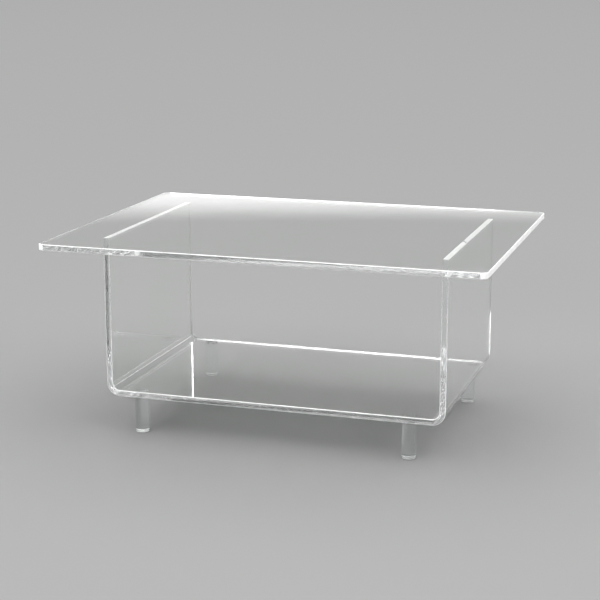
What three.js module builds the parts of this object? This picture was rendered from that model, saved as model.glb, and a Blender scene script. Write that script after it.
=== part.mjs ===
// Two-tier riser of clear acrylic: a flat top sheet cemented onto one U-bent sheet, whose floor is
// the lower shelf, which stands on four solid round rods.
// Units are millimetres. X is the width, Y the depth with the front at -Y, and Z is up from the ground.
import * as THREE from 'three';

// Stock
const SHEET_THICKNESS = 5.6;
const ROD_RADIUS = 6.35;
const CEMENT_THICKNESS = 0.3;
const EDGE_BREAK = 0.4;

// Top sheet, and how far it overhangs the bent sheet at each end and at the front and back
const TOP_WIDTH = 406;
const TOP_DEPTH = 300;
const TOP_CORNER_RADIUS = 6;
const END_OVERHANG = 42.5;
const FACE_OVERHANG = 48.5;

// Bent sheet, from the lower shelf's underside to the uprights' top edges
const FRAME_HEIGHT = 144;
const BEND_INSIDE_RADIUS = 7;

// Rod legs. Each is set by hand, so its distance in from where the bend ends is its own.
const LEG_LENGTH = 34;
const LEG_FACE_MARGIN = 2.6;
const LEGS = [
  { name: 'front_left', side: -1, face: -1, pastBend: 12 },
  { name: 'rear_left', side: -1, face: 1, pastBend: 11 },
  { name: 'front_right', side: 1, face: -1, pastBend: 15.5 },
  { name: 'rear_right', side: 1, face: 1, pastBend: 0.3 },
];

// Facets
const CORNER_SEGMENTS = 8;
const BEND_SEGMENTS = 10;
const ROUND_SEGMENTS = 64;

// Sizes and levels that follow from the ones above
const FRAME_WIDTH = TOP_WIDTH - 2 * END_OVERHANG;
const FRAME_DEPTH = TOP_DEPTH - 2 * FACE_OVERHANG;
const BEND_OUTSIDE_RADIUS = BEND_INSIDE_RADIUS + SHEET_THICKNESS;
const FRAME_BOTTOM = LEG_LENGTH + CEMENT_THICKNESS;
const FRAME_TOP = FRAME_BOTTOM + FRAME_HEIGHT;
const TOP_BOTTOM = FRAME_TOP + CEMENT_THICKNESS;
const UPRIGHT_CENTRE_X = (FRAME_WIDTH - SHEET_THICKNESS) / 2;
const QUARTER_TURN = Math.PI / 2;

function acrylic() {
  return new THREE.MeshStandardMaterial({ color: 0xe6eef0, roughness: 0.06, metalness: 0 });
}

function curedCement() {
  return new THREE.MeshStandardMaterial({ color: 0xf1f3ee, roughness: 0.3, metalness: 0 });
}

function named(name, geometry, material) {
  const mesh = new THREE.Mesh(geometry, material);
  mesh.name = name;
  return mesh;
}

// An outline run straight for a length, with the edges of both end faces broken inside its full size
function sheetPiece(outline, length, curveSegments) {
  return new THREE.ExtrudeGeometry(outline, {
    depth: length - 2 * EDGE_BREAK,
    curveSegments,
    bevelEnabled: true,
    bevelThickness: EDGE_BREAK,
    bevelSize: EDGE_BREAK,
    bevelOffset: -EDGE_BREAK,
    bevelSegments: 1,
  });
}

function roundedRectangle(width, depth, radius) {
  const x = width / 2;
  const y = depth / 2;
  const outline = new THREE.Shape();
  outline.moveTo(radius - x, -y);
  outline.lineTo(x - radius, -y);
  outline.absarc(x - radius, radius - y, radius, -QUARTER_TURN, 0, false);
  outline.lineTo(x, y - radius);
  outline.absarc(x - radius, y - radius, radius, 0, QUARTER_TURN, false);
  outline.lineTo(radius - x, y);
  outline.absarc(radius - x, y - radius, radius, QUARTER_TURN, 2 * QUARTER_TURN, false);
  outline.lineTo(-x, radius - y);
  outline.absarc(radius - x, radius - y, radius, 2 * QUARTER_TURN, 3 * QUARTER_TURN, false);
  return outline;
}

function topShelf() {
  const outline = roundedRectangle(TOP_WIDTH, TOP_DEPTH, TOP_CORNER_RADIUS);
  const geometry = sheetPiece(outline, SHEET_THICKNESS, CORNER_SEGMENTS);
  geometry.translate(0, 0, TOP_BOTTOM + EDGE_BREAK);
  return named('top_shelf', geometry, acrylic());
}

// The end view of the bent sheet, as a U standing on y = 0
function bentProfile() {
  const outer = FRAME_WIDTH / 2;
  const inner = outer - SHEET_THICKNESS;
  const bendX = outer - BEND_OUTSIDE_RADIUS;
  const bendY = BEND_OUTSIDE_RADIUS;
  const profile = new THREE.Shape();
  profile.moveTo(-outer, FRAME_HEIGHT);
  profile.lineTo(-outer, bendY);
  profile.absarc(-bendX, bendY, BEND_OUTSIDE_RADIUS, 2 * QUARTER_TURN, 3 * QUARTER_TURN, false);
  profile.lineTo(bendX, 0);
  profile.absarc(bendX, bendY, BEND_OUTSIDE_RADIUS, -QUARTER_TURN, 0, false);
  profile.lineTo(outer, FRAME_HEIGHT);
  profile.lineTo(inner, FRAME_HEIGHT);
  profile.lineTo(inner, bendY);
  profile.absarc(bendX, bendY, BEND_INSIDE_RADIUS, 0, -QUARTER_TURN, true);
  profile.lineTo(-bendX, SHEET_THICKNESS);
  profile.absarc(-bendX, bendY, BEND_INSIDE_RADIUS, 3 * QUARTER_TURN, 2 * QUARTER_TURN, true);
  profile.lineTo(-inner, FRAME_HEIGHT);
  return profile;
}

function bentFrame() {
  const geometry = sheetPiece(bentProfile(), FRAME_DEPTH, BEND_SEGMENTS);
  geometry.rotateX(QUARTER_TURN);
  geometry.translate(0, FRAME_DEPTH / 2 - EDGE_BREAK, FRAME_BOTTOM);
  return named('bent_frame', geometry, acrylic());
}

// A cement film along the top edge of one upright
function uprightCement(name, side) {
  const length = FRAME_DEPTH - 2 * EDGE_BREAK;
  const geometry = new THREE.BoxGeometry(SHEET_THICKNESS, length, CEMENT_THICKNESS);
  geometry.translate(side * UPRIGHT_CENTRE_X, 0, FRAME_TOP + CEMENT_THICKNESS / 2);
  return named(name, geometry, curedCement());
}

// Each rod stands whole on the flat of the shelf, clear of the bend and of the sheet's edge
function legCentre(leg) {
  const x = leg.side * (FRAME_WIDTH / 2 - BEND_OUTSIDE_RADIUS - leg.pastBend - ROD_RADIUS);
  const y = leg.face * (FRAME_DEPTH / 2 - LEG_FACE_MARGIN - ROD_RADIUS);
  return { x, y };
}

// A rod with its lower rim broken and its upper end square for the joint
function legRod(leg) {
  const centre = legCentre(leg);
  const profile = [
    new THREE.Vector2(0, 0),
    new THREE.Vector2(ROD_RADIUS - EDGE_BREAK, 0),
    new THREE.Vector2(ROD_RADIUS, EDGE_BREAK),
    new THREE.Vector2(ROD_RADIUS, LEG_LENGTH),
    new THREE.Vector2(0, LEG_LENGTH),
  ];
  const geometry = new THREE.LatheGeometry(profile, ROUND_SEGMENTS);
  geometry.rotateX(QUARTER_TURN);
  geometry.translate(centre.x, centre.y, 0);
  return named(`leg_${leg.name}`, geometry, acrylic());
}

// A cement film between the upper end of one rod and the underside of the lower shelf
function legCement(leg) {
  const centre = legCentre(leg);
  const geometry = new THREE.CylinderGeometry(ROD_RADIUS, ROD_RADIUS, CEMENT_THICKNESS, ROUND_SEGMENTS);
  geometry.rotateX(QUARTER_TURN);
  geometry.translate(centre.x, centre.y, LEG_LENGTH + CEMENT_THICKNESS / 2);
  return named(`cement_leg_${leg.name}`, geometry, curedCement());
}

const riser = new THREE.Group();
riser.name = 'tiered_shelf_riser';
riser.add(topShelf());
riser.add(bentFrame());
riser.add(uprightCement('cement_upright_left', -1));
riser.add(uprightCement('cement_upright_right', 1));
for (const leg of LEGS) {
  riser.add(legRod(leg));
  riser.add(legCement(leg));
}

export default riser;
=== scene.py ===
"""Clear acrylic two-tier riser on a pale studio floor. Metres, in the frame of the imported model."""
import math

import bmesh
import bpy
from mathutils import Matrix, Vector, noise


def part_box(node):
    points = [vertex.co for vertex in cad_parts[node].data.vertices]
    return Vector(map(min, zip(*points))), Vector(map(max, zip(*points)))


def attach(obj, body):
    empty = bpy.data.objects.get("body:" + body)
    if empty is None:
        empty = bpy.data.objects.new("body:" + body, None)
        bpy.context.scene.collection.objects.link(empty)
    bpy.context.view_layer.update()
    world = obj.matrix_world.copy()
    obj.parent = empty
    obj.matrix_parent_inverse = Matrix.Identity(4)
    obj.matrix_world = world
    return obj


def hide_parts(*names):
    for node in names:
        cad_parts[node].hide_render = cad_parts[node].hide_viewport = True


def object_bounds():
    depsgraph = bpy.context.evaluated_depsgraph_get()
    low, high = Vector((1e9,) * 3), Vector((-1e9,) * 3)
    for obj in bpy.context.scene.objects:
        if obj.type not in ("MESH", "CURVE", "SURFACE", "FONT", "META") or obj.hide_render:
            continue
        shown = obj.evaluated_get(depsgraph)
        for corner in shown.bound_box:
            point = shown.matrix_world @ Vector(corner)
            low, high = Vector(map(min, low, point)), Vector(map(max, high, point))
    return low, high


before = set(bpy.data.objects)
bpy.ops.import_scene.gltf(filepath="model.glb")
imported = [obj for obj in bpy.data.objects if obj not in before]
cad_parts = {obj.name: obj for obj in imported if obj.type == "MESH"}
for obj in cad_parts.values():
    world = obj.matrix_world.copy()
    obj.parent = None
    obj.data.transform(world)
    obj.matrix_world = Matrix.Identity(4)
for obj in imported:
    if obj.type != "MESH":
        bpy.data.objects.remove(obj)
cad_low, cad_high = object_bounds()

MM = 0.001
QUARTER_TURN = math.pi / 2

# Finished sizes that the CAD nodes' boxes don't give. Cement reaches a little into both of its neighbours.
CORNER_RADIUS = 6 * MM
BEND_INSIDE_RADIUS = 7 * MM
EDGE_BREAK = 0.6 * MM
CEMENT_BITE = 0.05 * MM

# Steps to a rounded edge, a corner and a bend, each a quarter turn, and to a rod's whole circle
BREAK_STEPS = 3
CORNER_STEPS = 20
BEND_STEPS = 28
ROD_STEPS = 96

# How often and how far the long sides of a cement strip wander
STRIP_STEP = 2.5 * MM
STRIP_WANDER = 0.35 * MM
WANDER_PACE = 0.4

# The one gap in the cement: its place along the strip, length, slant across and the thread left beside it
GAPS = {"right": -18 * MM}
GAP_LENGTH = 3.5 * MM
GAP_SLANT = -7 * MM
GAP_THREAD = 0.5 * MM

# Optics of cast acrylic and its cement
ACRYLIC_IOR = 1.491
CEMENT_IOR = 1.47
TINT = (0.60, 0.80, 0.84, 1)
TINT_DENSITY = 0.08

# Cutter marks: where they fade out in X, in Y and above the shelf, and where they start below the top
MARKS_FADE_X = (-125 * MM, -95 * MM)
MARKS_FADE_Y = (-60 * MM, -40 * MM)
SHELF_MARKS_FADE_Z = (60 * MM, 85 * MM)
TOP_MARKS_RISE_Z = (170 * MM, 175 * MM)

# Their wavelength along the edge, the share of the height that slants them, their wander in radians and
# the roughness that they add
MARKS_WAVELENGTH = 15 * MM
MARKS_SLANT = -1.6
MARKS_WANDER = 4.0
MARKS_ROUGHNESS = 0.08

# Relief of a cut edge, and the heights of its marks, their grain and its wave as shares of it
CUT_RELIEF = 0.16 * MM
MARKS_HEIGHT = 0.9
SHELF_MARKS_EXTRA = 3.5
GRAIN_HEIGHT = 0.04
WAVE_HEIGHT = 0.006

# Radiance of the dome, its glow behind the object and its low ring, with angles in degrees. GLOW_SIDE
# keeps the glow off the opposite side, and the ring grows over a span of the direction's X times its Y.
HORIZON_TONE = 0.42
OVERHEAD_TONE = 3.4
DOME_RISE = (28, 48)
GLOW_TONE = 0.9
GLOW_AZIMUTH = 195
GLOW_HALF_WIDTH = (8, 22)
GLOW_RISE = (8.2, 9.0)
GLOW_FALL = (9.4, 10.4)
GLOW_SIDE = (-0.2, 0)
RING_TONE = 3.5
RING_WEAK = 0.1
RING_RISE = (11.9, 12.6)
RING_FALL = (13.8, 14.6)
RING_GROWTH = (-0.05, 0.2)

# Floor, which turns into the horizon's tone between two distances
FLOOR_LEVEL = -0.2 * MM
FLOOR_RADIUS = 22.0
FLOOR_STEPS = 96
FLOOR_TONE = 0.19
FLOOR_FADE = (3.0, 14.0)

# Camera, with angles in degrees, the lens in millimetres and the rest in metres
CAMERA_AZIMUTH = 17.58
CAMERA_ELEVATION = 13.24
CAMERA_DISTANCE = 1.4832
CAMERA_LENS = 93.5
CAMERA_TARGET = Vector((-0.0045, 0, 0.1136))

# Material slots of the sheets and rods
FACE_SLOT = 0
CUT_SLOT = 1
SCRAPED_SLOT = 2
SATIN_SLOT = 3


def quarter_steps(steps):
    """Angles from 0 to a quarter turn, both ends included."""
    return [QUARTER_TURN * k / steps for k in range(steps + 1)]


def sines(degrees):
    """The sines of a pair of angles."""
    return [math.sin(math.radians(angle)) for angle in degrees]


def from_angles(azimuth, elevation):
    """Unit vector from the object to a place at this azimuth, 0 at the front and 90 at +X, in degrees."""
    turn, rise = math.radians(azimuth), math.radians(elevation)
    return Vector((math.sin(turn) * math.cos(rise), -math.cos(turn) * math.cos(rise), math.sin(rise)))


# ---------------------------------------------------------------- shader nodes

def new_material(name):
    """A material with one principled shader, and its tree, shader and output."""
    material = bpy.data.materials.new(name)
    material.use_nodes = True
    tree = material.node_tree
    tree.nodes.clear()
    output = tree.nodes.new("ShaderNodeOutputMaterial")
    shader = tree.nodes.new("ShaderNodeBsdfPrincipled")
    tree.links.new(shader.outputs["BSDF"], output.inputs["Surface"])
    return material, tree, shader, output


def fill(tree, socket, value):
    """Links a socket to another node's output, or gives it a plain value."""
    if isinstance(value, bpy.types.NodeSocket):
        tree.links.new(value, socket)
    else:
        socket.default_value = value


def add(tree, kind, **inputs):
    """A node with its sockets filled, each named with _ for a space."""
    node = tree.nodes.new(kind)
    for key, value in inputs.items():
        fill(tree, node.inputs[key.replace("_", " ")], value)
    return node


def math_node(tree, operation, *values):
    """The result of one sum on sockets or numbers."""
    node = tree.nodes.new("ShaderNodeMath")
    node.operation = operation
    for socket, value in zip(node.inputs, values):
        fill(tree, socket, value)
    return node.outputs["Value"]


def product(tree, values):
    """All the values multiplied together."""
    total = values[0]
    for value in values[1:]:
        total = math_node(tree, "MULTIPLY", total, value)
    return total


def ramp(tree, value, source, target):
    """A value carried smoothly from one (low, high) range to another, and held past its ends."""
    node = tree.nodes.new("ShaderNodeMapRange")
    node.interpolation_type = "SMOOTHSTEP"
    tree.links.new(value, node.inputs["Value"])
    node.inputs["From Min"].default_value, node.inputs["From Max"].default_value = source
    node.inputs["To Min"].default_value, node.inputs["To Max"].default_value = target
    return node.outputs["Result"]


def pattern(tree, place, scale, detail=3.0, stretch=(1, 1, 1)):
    """Noise over a set of coordinates, stretched along them."""
    mapping = add(tree, "ShaderNodeMapping", Vector=place, Scale=stretch)
    spots = add(tree, "ShaderNodeTexNoise", Vector=mapping.outputs["Vector"], Scale=scale, Detail=detail)
    return spots.outputs["Fac"]


def colour_by(tree, shader, **channels):
    """Gives the base colour a number or a socket for each of Red, Green and Blue."""
    colour = add(tree, "ShaderNodeCombineColor", **channels)
    tree.links.new(colour.outputs["Color"], shader.inputs["Base Color"])


def raise_by(tree, shader, height, distance, strength=1.0):
    """Gives the surface a relief, in which a height of 1 stands out by the distance."""
    bump = add(tree, "ShaderNodeBump", Height=height, Distance=distance, Strength=strength)
    tree.links.new(bump.outputs["Normal"], shader.inputs["Normal"])


def run_map(tree):
    """The distances along and across a piece's run."""
    return add(tree, "ShaderNodeTexCoord").outputs["UV"]


def object_place(tree):
    """Coordinates in the piece's own space."""
    return add(tree, "ShaderNodeTexCoord").outputs["Object"]


# ---------------------------------------------------------------- materials

def clear_shader(name, transmission):
    """A new acrylic material with its tint, and its tree and shader."""
    material, tree, shader, output = new_material(name)
    shader.inputs["Transmission Weight"].default_value = transmission
    shader.inputs["IOR"].default_value = ACRYLIC_IOR
    tint = add(tree, "ShaderNodeVolumeAbsorption", Color=TINT, Density=TINT_DENSITY)
    tree.links.new(tint.outputs["Volume"], output.inputs["Volume"])
    return material, tree, shader


def acrylic_face():
    """Cast face: glossy, with faint handling smears, fine scuffs and a very slight wave."""
    material, tree, shader = clear_shader("clear_acrylic_face", transmission=1.0)
    place = object_place(tree)
    smears = ramp(tree, pattern(tree, place, scale=16.0, detail=5.0), (0.5, 0.78), (0.0, 0.015))
    scratches = pattern(tree, place, scale=700.0, detail=2.0, stretch=(1, 14, 6))
    scuffs = ramp(tree, scratches, (0.66, 0.72), (0.0, 0.03))
    tree.links.new(math_node(tree, "ADD", smears, scuffs), shader.inputs["Roughness"])
    tone = ramp(tree, pattern(tree, place, scale=7.0), (0.3, 0.7), (0.975, 1.0))
    colour_by(tree, shader, Red=tone, Green=1.0, Blue=tone)
    raise_by(tree, shader, pattern(tree, place, scale=22.0, detail=1.0), distance=0.02 * MM, strength=0.25)
    return material


def acrylic_rod():
    """Extruded rod: a trace of haze, and faint draw lines along its length."""
    material, tree, shader = clear_shader("clear_acrylic_rod", transmission=0.97)
    place = run_map(tree)
    draw_lines = pattern(tree, place, scale=900.0, detail=2.0, stretch=(1, 0.02, 1))
    tree.links.new(ramp(tree, draw_lines, (0.35, 0.7), (0.01, 0.08)), shader.inputs["Roughness"])
    tone = ramp(tree, pattern(tree, place, scale=120.0), (0.3, 0.7), (0.96, 1.0))
    colour_by(tree, shader, Red=tone, Green=1.0, Blue=1.0)
    raise_by(tree, shader, draw_lines, distance=0.02 * MM)
    return material


def acrylic_cut():
    """Polished edge with a very slight wave and, at the front left, slanting cutter marks."""
    material, tree, shader = clear_shader("clear_acrylic_cut_edge", transmission=1.0)
    place = run_map(tree)
    at = add(tree, "ShaderNodeSeparateXYZ", Vector=object_place(tree))
    run = add(tree, "ShaderNodeSeparateXYZ", Vector=place)

    near_left_end = ramp(tree, at.outputs["X"], MARKS_FADE_X, (1.0, 0.0))
    in_front = ramp(tree, at.outputs["Y"], MARKS_FADE_Y, (1.0, 0.0))
    along_shelf = ramp(tree, at.outputs["Z"], SHELF_MARKS_FADE_Z, (1.0, 0.0))
    along_top = ramp(tree, at.outputs["Z"], TOP_MARKS_RISE_Z, (0.0, 1.0))
    on_either = math_node(tree, "ADD", along_shelf, along_top)
    blotches = pattern(tree, place, scale=30.0, detail=2.0, stretch=(1, 0.2, 1))
    patches = ramp(tree, blotches, (0.38, 0.62), (0.6, 1.0))
    marked = product(tree, [near_left_end, in_front, on_either, patches])

    slanted = math_node(tree, "MULTIPLY_ADD", run.outputs["Y"], MARKS_SLANT, run.outputs["X"])
    uneven = pattern(tree, place, scale=90.0, detail=2.0, stretch=(1, 0.1, 1))
    wander = math_node(tree, "MULTIPLY", uneven, MARKS_WANDER)
    phase = math_node(tree, "MULTIPLY_ADD", slanted, math.tau / MARKS_WAVELENGTH, wander)
    passes = math_node(tree, "ABSOLUTE", math_node(tree, "SINE", phase))
    height = math_node(tree, "MULTIPLY_ADD", along_shelf, SHELF_MARKS_EXTRA, MARKS_HEIGHT)
    fine = pattern(tree, place, scale=1600.0, detail=2.0, stretch=(1, 0.08, 1))
    grain = math_node(tree, "MULTIPLY", fine, GRAIN_HEIGHT)
    marks = math_node(tree, "MULTIPLY_ADD", passes, height, grain)
    swell = pattern(tree, place, scale=420.0, detail=2.0, stretch=(1, 0.25, 1))
    wave = math_node(tree, "MULTIPLY", swell, WAVE_HEIGHT)
    raise_by(tree, shader, math_node(tree, "MULTIPLY_ADD", marks, marked, wave), distance=CUT_RELIEF)

    polish = ramp(tree, fine, (0.35, 0.7), (0.03, 0.07))
    roughness = math_node(tree, "MULTIPLY_ADD", marked, MARKS_ROUGHNESS, polish)
    tree.links.new(roughness, shader.inputs["Roughness"])
    tone = ramp(tree, patches, (0.6, 1.0), (0.985, 1.0))
    colour_by(tree, shader, Red=tone, Green=1.0, Blue=1.0)
    return material


def acrylic_satin():
    """Sawn end edge and its corners, sanded to an even satin with fine lines across the thickness."""
    material, tree, shader = clear_shader("clear_acrylic_satin_edge", transmission=0.2)
    place = run_map(tree)
    lines = pattern(tree, place, scale=1400.0, detail=2.0, stretch=(1, 0.06, 1))
    tree.links.new(ramp(tree, lines, (0.35, 0.7), (0.3, 0.45)), shader.inputs["Roughness"])
    wear = pattern(tree, place, scale=45.0, detail=2.0, stretch=(1, 0.2, 1))
    tone = ramp(tree, wear, (0.3, 0.7), (0.9, 1.0))
    colour_by(tree, shader, Red=tone, Green=tone, Blue=tone)
    raise_by(tree, shader, lines, distance=0.03 * MM)
    return material


def acrylic_scraped():
    """The scraped break along a cut edge: frosted, with nicks."""
    material, tree, shader = clear_shader("clear_acrylic_scraped_edge", transmission=0.3)
    place = run_map(tree)
    nicks = pattern(tree, place, scale=700.0, stretch=(1, 0.3, 1))
    tree.links.new(ramp(tree, nicks, (0.35, 0.7), (0.25, 0.5)), shader.inputs["Roughness"])
    wear = pattern(tree, place, scale=60.0, detail=2.0, stretch=(1, 0.2, 1))
    tone = ramp(tree, wear, (0.3, 0.7), (0.75, 1.0))
    colour_by(tree, shader, Red=tone, Green=tone, Blue=tone)
    raise_by(tree, shader, nicks, distance=0.1 * MM)
    return material


def cement(name, clearness, roughness):
    """Cured film, clouded by fine bubbles."""
    material, tree, shader, _ = new_material(name)
    shader.inputs["Transmission Weight"].default_value = clearness
    shader.inputs["IOR"].default_value = CEMENT_IOR
    bubbles = pattern(tree, object_place(tree), scale=420.0, detail=4.0)
    haze = ramp(tree, bubbles, (0.3, 0.7), (roughness, roughness * 1.6))
    tree.links.new(haze, shader.inputs["Roughness"])
    tone = ramp(tree, bubbles, (0.3, 0.6), (0.82, 1.0))
    colour_by(tree, shader, Red=tone, Green=tone, Blue=tone)
    return material


def floor_material():
    """Matt and pale, turning into the horizon's own tone far from the object."""
    material, tree, shader, output = new_material("pale_floor")
    shader.inputs["Base Color"].default_value = (FLOOR_TONE, FLOOR_TONE, FLOOR_TONE, 1)
    shader.inputs["Roughness"].default_value = 0.9
    shader.inputs["Specular IOR Level"].default_value = 0.0
    away = tree.nodes.new("ShaderNodeVectorMath")
    away.operation = "LENGTH"
    tree.links.new(object_place(tree), away.inputs[0])
    horizon = add(tree, "ShaderNodeEmission", Color=(1, 1, 1, 1), Strength=HORIZON_TONE)
    fade = ramp(tree, away.outputs["Value"], FLOOR_FADE, (0, 1))
    blend = add(tree, "ShaderNodeMixShader", Fac=fade)
    tree.links.new(shader.outputs["BSDF"], blend.inputs[1])
    tree.links.new(horizon.outputs["Emission"], blend.inputs[2])
    tree.links.new(blend.outputs["Shader"], output.inputs["Surface"])
    return material


# ---------------------------------------------------------------- meshes

def new_mesh():
    """An empty mesh whose vertices carry their distance along and across the piece's run."""
    mesh = bmesh.new()
    mesh.verts.layers.float.new("along")
    mesh.verts.layers.float.new("across")
    return mesh


def new_ring(mesh, points):
    """Vertices from (x, y, z, along, across)."""
    along = mesh.verts.layers.float["along"]
    across = mesh.verts.layers.float["across"]
    ring = []
    for x, y, z, u, v in points:
        vert = mesh.verts.new((x, y, z))
        vert[along] = u
        vert[across] = v
        ring.append(vert)
    return ring


def lay_map(mesh, period):
    """A map in metres of each face's run. A run that closes on itself starts again after its period."""
    uv = mesh.loops.layers.uv.new("RunMap")
    along = mesh.verts.layers.float["along"]
    across = mesh.verts.layers.float["across"]
    for face in mesh.faces:
        start = max(loop.vert[along] for loop in face.loops) - period / 2
        for loop in face.loops:
            if len(face.verts) > 4:
                loop[uv].uv = (loop.vert.co.x, loop.vert.co.y)
                continue
            u = loop.vert[along]
            loop[uv].uv = (u + period if period and u < start else u, loop.vert[across])


def finish_piece(name, mesh, materials, node, period=0.0):
    """Links the built mesh as a piece that stands for its CAD node."""
    data = bpy.data.meshes.new(name)
    bmesh.ops.recalc_face_normals(mesh, faces=mesh.faces)
    lay_map(mesh, period)
    mesh.to_mesh(data)
    mesh.free()
    for material in materials:
        data.materials.append(material)
    piece = bpy.data.objects.new(name, data)
    bpy.context.scene.collection.objects.link(piece)
    weighted = piece.modifiers.new("flat_faces_stay_flat", "WEIGHTED_NORMAL")
    weighted.keep_sharp = True
    weighted.weight = 100
    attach(piece, "root")
    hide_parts(node)


def skin(mesh, rings, material_index, break_index=None):
    """Smooth quads between successive closed rings. The tallest band is the side of the piece, and any
    others are its edge breaks.
    """
    heights = [(high[0].co - low[0].co).length for low, high in zip(rings, rings[1:])]
    for low, high, height in zip(rings, rings[1:], heights):
        broken = break_index is not None and height < max(heights)
        for i in range(len(low)):
            j = (i + 1) % len(low)
            face = mesh.faces.new((low[i], low[j], high[j], high[i]))
            face.smooth = True
            face.material_index = break_index if broken else material_index


def sharpen(ring):
    """Marks the closed loop of edges through a ring as sharp."""
    for a, b in zip(ring, ring[1:] + ring[:1]):
        for edge in a.link_edges:
            if edge.other_vert(a) is b:
                edge.smooth = False


def close_ends(mesh, rings, material_index):
    """A flat cap on the first and the last ring, with square edges."""
    for ring, order in ((rings[0], -1), (rings[-1], 1)):
        cap = mesh.faces.new(ring[::order])
        cap.material_index = material_index
        sharpen(ring)


def rounded_edge():
    """(inset, height) pairs from a lower face up round its broken edge."""
    angles = quarter_steps(BREAK_STEPS)
    return [(EDGE_BREAK * (1 - math.sin(a)), EDGE_BREAK * (1 - math.cos(a))) for a in angles]


def sheet_side(thickness):
    """(inset, height) pairs up the side of a sheet with both edges rounded."""
    low = rounded_edge()
    return low + [(inset, thickness - height) for inset, height in reversed(low)]


def running_lengths(points):
    """Distance from the first point to each, along the outline, and the whole way round."""
    lengths = [0.0]
    for a, b in zip(points, points[1:] + points[:1]):
        lengths.append(lengths[-1] + math.dist(a, b))
    return lengths[:-1], lengths[-1]


# ---------------------------------------------------------------- top sheet

def rounded_rectangle(half_x, half_y, radius, inset):
    """Anticlockwise from the front right corner, drawn in by an inset."""
    points = []
    corners = ((1, -1, -1), (1, 1, 0), (-1, 1, 1), (-1, -1, 2))
    for side_x, side_y, turns in corners:
        for angle in quarter_steps(CORNER_STEPS):
            turned = angle + turns * QUARTER_TURN
            x = side_x * (half_x - radius) + (radius - inset) * math.cos(turned)
            y = side_y * (half_y - radius) + (radius - inset) * math.sin(turned)
            points.append((x, y))
    return points


def build_top(materials):
    """The flat sheet, with satin end edges and corners and a polished front and rear edge."""
    low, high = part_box("top_shelf")
    lengths, period = running_lengths(rounded_rectangle(high.x, high.y, CORNER_RADIUS, 0))
    mesh = new_mesh()
    rings = []
    for inset, height in sheet_side(high.z - low.z):
        outline = rounded_rectangle(high.x, high.y, CORNER_RADIUS, inset)
        points = [(x, y, low.z + height, u, height) for (x, y), u in zip(outline, lengths)]
        rings.append(new_ring(mesh, points))
    skin(mesh, rings, CUT_SLOT, SCRAPED_SLOT)
    for side in mesh.faces:
        if side.material_index == CUT_SLOT and abs(side.calc_center_median().x) > high.x - CORNER_RADIUS:
            side.material_index = SATIN_SLOT
    close_ends(mesh, rings, FACE_SLOT)
    finish_piece("top_sheet", mesh, materials, "top_shelf", period)


# ---------------------------------------------------------------- bent sheet

def bent_path(low, high, thickness):
    """Stations along the U: the point on its outer face and the unit vector inwards, in XZ."""
    outside = BEND_INSIDE_RADIUS + thickness
    bend_x = high.x - outside
    bend_z = low.z + outside
    stations = [((low.x, high.z), (1, 0))]
    for side, turns in ((-1, 2), (1, 3)):
        for angle in quarter_steps(BEND_STEPS):
            turned = angle + turns * QUARTER_TURN
            out = (math.cos(turned), math.sin(turned))
            point = (side * bend_x + outside * out[0], bend_z + outside * out[1])
            stations.append((point, (-out[0], -out[1])))
    stations.append(((high.x, high.z), (-1, 0)))
    return stations


def frame_section(thickness, front, back):
    """(distance in from the outer face, y) round the sheet: in along the front edge, out along the rear."""
    steps = sheet_side(thickness)
    near = [(height, front + inset) for inset, height in steps]
    far = [(height, back - inset) for inset, height in reversed(steps)]
    return near + far


def build_frame(materials, thickness):
    """The bent sheet: its section carried along the U."""
    low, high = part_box("bent_frame")
    section = frame_section(thickness, low.y, high.y)
    around, _ = running_lengths(section)
    stations = bent_path(low, high, thickness)
    half = thickness / 2
    middle = [(x + in_x * half, z + in_z * half) for (x, z), (in_x, in_z) in stations]
    lengths, _ = running_lengths(middle)
    mesh = new_mesh()
    rings = []
    for ((x, z), (in_x, in_z)), u in zip(stations, lengths):
        points = [(x + in_x * n, y, z + in_z * n, u, v) for (n, y), v in zip(section, around)]
        rings.append(new_ring(mesh, points))
    count = len(section)
    slots = [SCRAPED_SLOT] * count
    for start in (0, count // 2):
        slots[start + BREAK_STEPS] = CUT_SLOT
        slots[start + count // 2 - 1] = FACE_SLOT
    for near, far in zip(rings, rings[1:]):
        for i in range(count):
            j = (i + 1) % count
            face = mesh.faces.new((near[i], near[j], far[j], far[i]))
            face.smooth = True
            face.material_index = slots[i]
            if slots[i] == FACE_SLOT:
                for k in (i, j):
                    mesh.edges.get((near[k], far[k])).smooth = False
    close_ends(mesh, rings, CUT_SLOT)
    finish_piece("bent_sheet", mesh, materials, "bent_frame")


# ---------------------------------------------------------------- legs and cement

def circle(centre, radius, z, height):
    """Points round a circle, with their place on the wrapped surface."""
    points = []
    for k in range(ROD_STEPS):
        angle = math.tau * k / ROD_STEPS
        x = centre.x + radius * math.cos(angle)
        y = centre.y + radius * math.sin(angle)
        points.append((x, y, z, radius * angle, height))
    return points


def build_leg(name, node, materials):
    """A rod with its foot's rim broken and its upper end square."""
    low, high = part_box(node)
    centre = (low + high) / 2
    radius = (high.x - low.x) / 2
    profile = rounded_edge() + [(0, high.z - low.z)]
    mesh = new_mesh()
    rings = []
    for inset, height in profile:
        rings.append(new_ring(mesh, circle(centre, radius - inset, low.z + height, height)))
    skin(mesh, rings, FACE_SLOT, SCRAPED_SLOT)
    close_ends(mesh, rings, CUT_SLOT)
    finish_piece(name, mesh, materials, node)


def build_film(name, node, outline, material):
    """A thin closed film with the given outline, let a little into the pieces above and below."""
    low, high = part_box(node)
    mesh = new_mesh()
    rings = [new_ring(mesh, [(x, y, z, x, y) for x, y in outline])
             for z in (low.z - CEMENT_BITE, high.z + CEMENT_BITE)]
    skin(mesh, rings, 0)
    close_ends(mesh, rings, 0)
    finish_piece(name, mesh, [material], node)


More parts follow.
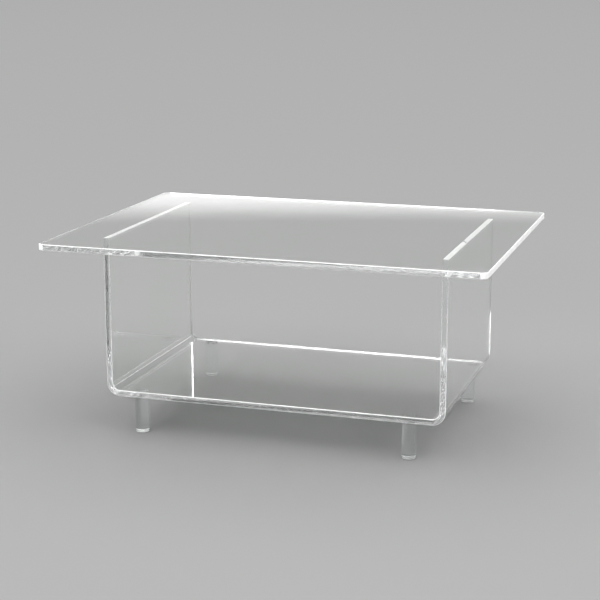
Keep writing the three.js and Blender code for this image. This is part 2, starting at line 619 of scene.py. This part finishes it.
def strip_outline(node, gap_y=None):
    """A strip whose long sides wander inwards a little. Where asked, a slanting gap leaves one thread."""
    low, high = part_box(node)
    steps = round((high.y - low.y) / STRIP_STEP)
    levels = [low.y + (high.y - low.y) * k / steps for k in range(steps + 1)]

    def wander(y, seed):
        swing = noise.noise(Vector((y / STRIP_STEP * WANDER_PACE, seed, low.x)))
        return STRIP_WANDER * (0.5 + 0.5 * swing)

    right = [(high.x - wander(y, 1), y) for y in levels]
    left = [(low.x + wander(y, 2), y) for y in levels]
    if gap_y is not None:
        near_x = low.x + STRIP_WANDER / 2
        far_x = high.x - STRIP_WANDER - GAP_THREAD
        mouth = [(near_x, gap_y), (far_x, gap_y + GAP_SLANT),
                 (far_x, gap_y + GAP_SLANT + GAP_LENGTH), (near_x, gap_y + GAP_LENGTH)]
        before = [point for point in left if point[1] < gap_y]
        after = [point for point in left if point[1] > gap_y + GAP_LENGTH]
        left = before + mouth + after
    return right + left[::-1]


def disc_outline(node):
    """A circle as wide as the node."""
    low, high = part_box(node)
    return [(x, y) for x, y, *_ in circle((low + high) / 2, (high.x - low.x) / 2, 0, 0)]


# ---------------------------------------------------------------- stage

def build_camera():
    """The camera, placed to see the object as the photograph does."""
    data = bpy.data.cameras.new("camera")
    data.lens = CAMERA_LENS
    camera = bpy.data.objects.new("camera", data)
    bpy.context.scene.collection.objects.link(camera)
    back = from_angles(CAMERA_AZIMUTH, CAMERA_ELEVATION)
    camera.location = CAMERA_TARGET + back * CAMERA_DISTANCE
    camera.rotation_mode = "QUATERNION"
    camera.rotation_quaternion = back.to_track_quat("Z", "Y")
    bpy.context.scene.camera = camera


def build_floor():
    """One wide round face."""
    mesh = bmesh.new()
    turns = [math.tau * k / FLOOR_STEPS for k in range(FLOOR_STEPS)]
    rim = [(FLOOR_RADIUS * math.cos(a), FLOOR_RADIUS * math.sin(a), FLOOR_LEVEL) for a in turns]
    mesh.faces.new([mesh.verts.new(point) for point in rim])
    data = bpy.data.meshes.new("studio_floor")
    mesh.to_mesh(data)
    mesh.free()
    data.materials.append(floor_material())
    floor = bpy.data.objects.new("studio_floor", data)
    bpy.context.scene.collection.objects.link(floor)


def band(tree, up, rise, fall):
    """Two factors whose product is 1 between two elevation ramps, and 0 outside them."""
    return [ramp(tree, up, sines(rise), (0, 1)), ramp(tree, up, sines(fall), (1, 0))]


def rear_glow(tree, direction, up):
    """A low soft strip behind the object, which shines in the rear of the top sheet."""
    turned = tree.nodes.new("ShaderNodeVectorRotate")
    turned.rotation_type = "Z_AXIS"
    turned.inputs["Angle"].default_value = -math.radians(GLOW_AZIMUTH)
    tree.links.new(direction, turned.inputs["Vector"])
    split = add(tree, "ShaderNodeSeparateXYZ", Vector=turned.outputs["Vector"])
    aside = math_node(tree, "ABSOLUTE", split.outputs["X"])
    across = ramp(tree, aside, sines(GLOW_HALF_WIDTH), (GLOW_TONE, 0))
    on_its_side = ramp(tree, split.outputs["Y"], GLOW_SIDE, (1, 0))
    return product(tree, [across, on_its_side] + band(tree, up, GLOW_RISE, GLOW_FALL))


def low_ring(tree, split):
    """A thin ring of light that the cut edges carry, strong in two opposite quarters and weak elsewhere."""
    quarter = math_node(tree, "MULTIPLY", split.outputs["X"], split.outputs["Y"])
    strength = ramp(tree, quarter, RING_GROWTH, (RING_TONE * RING_WEAK, RING_TONE))
    return product(tree, [strength] + band(tree, split.outputs["Z"], RING_RISE, RING_FALL))


def build_world():
    """A pale dome, even near the horizon and brighter overhead, with a low glow behind and a low ring."""
    world = bpy.data.worlds.new("studio_light")
    world.use_nodes = True
    tree = world.node_tree
    direction = tree.nodes.new("ShaderNodeTexCoord").outputs["Generated"]
    split = add(tree, "ShaderNodeSeparateXYZ", Vector=direction)
    up = split.outputs["Z"]
    dome = ramp(tree, up, sines(DOME_RISE), (HORIZON_TONE, OVERHEAD_TONE))
    lit = math_node(tree, "ADD", dome, rear_glow(tree, direction, up))
    level = math_node(tree, "ADD", lit, low_ring(tree, split))
    background = tree.nodes["Background"]
    tree.links.new(level, background.inputs["Strength"])
    background.inputs["Color"].default_value = (1, 1, 1, 1)
    bpy.context.scene.world = world


def softbox(name, azimuth, elevation, distance, width, height, power):
    """A panel of light, unseen by the camera, that faces the object's middle."""
    light = bpy.data.lights.new(name, "AREA")
    light.shape = "RECTANGLE"
    light.size = width
    light.size_y = height
    light.energy = power
    lamp = bpy.data.objects.new(name, light)
    bpy.context.scene.collection.objects.link(lamp)
    direction = from_angles(azimuth, elevation)
    lamp.location = (cad_low + cad_high) / 2 + direction * distance
    lamp.rotation_mode = "QUATERNION"
    lamp.rotation_quaternion = direction.to_track_quat("Z", "Y")
    lamp.visible_camera = False


def let_light_through():
    """Enough bounces for light to run the length of a sheet."""
    cycles = bpy.context.scene.cycles
    cycles.max_bounces = 48
    cycles.glossy_bounces = 40
    cycles.transmission_bounces = 40


build_camera()
build_floor()
build_world()
softbox("light_front_left", azimuth=-20, elevation=14, distance=2.8, width=1.2, height=0.6, power=25)
softbox("light_right", azimuth=85, elevation=32, distance=2.4, width=1.2, height=0.8, power=14)
let_light_through()
bpy.context.scene.view_settings.view_transform = "Standard"

face = acrylic_face()
cut = acrylic_cut()
scraped = acrylic_scraped()
rod = acrylic_rod()
cloudy_cement = cement("cloudy_cement", clearness=0.05, roughness=0.4)
clear_cement = cement("clear_cement", clearness=0.96, roughness=0.04)

build_top([face, cut, scraped, acrylic_satin()])
top_low, top_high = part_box("top_shelf")
build_frame([face, cut, scraped], top_high.z - top_low.z)
for corner in ("front_left", "rear_left", "front_right", "rear_right"):
    build_leg(f"rod_leg_{corner}", f"leg_{corner}", [rod, cut, scraped])
    film_node = f"cement_leg_{corner}"
    build_film(f"cement_disc_{corner}", film_node, disc_outline(film_node), clear_cement)
for side in ("left", "right"):
    film_node = f"cement_upright_{side}"
    build_film(f"cement_strip_{side}", film_node, strip_outline(film_node, GAPS.get(side)), cloudy_cement)
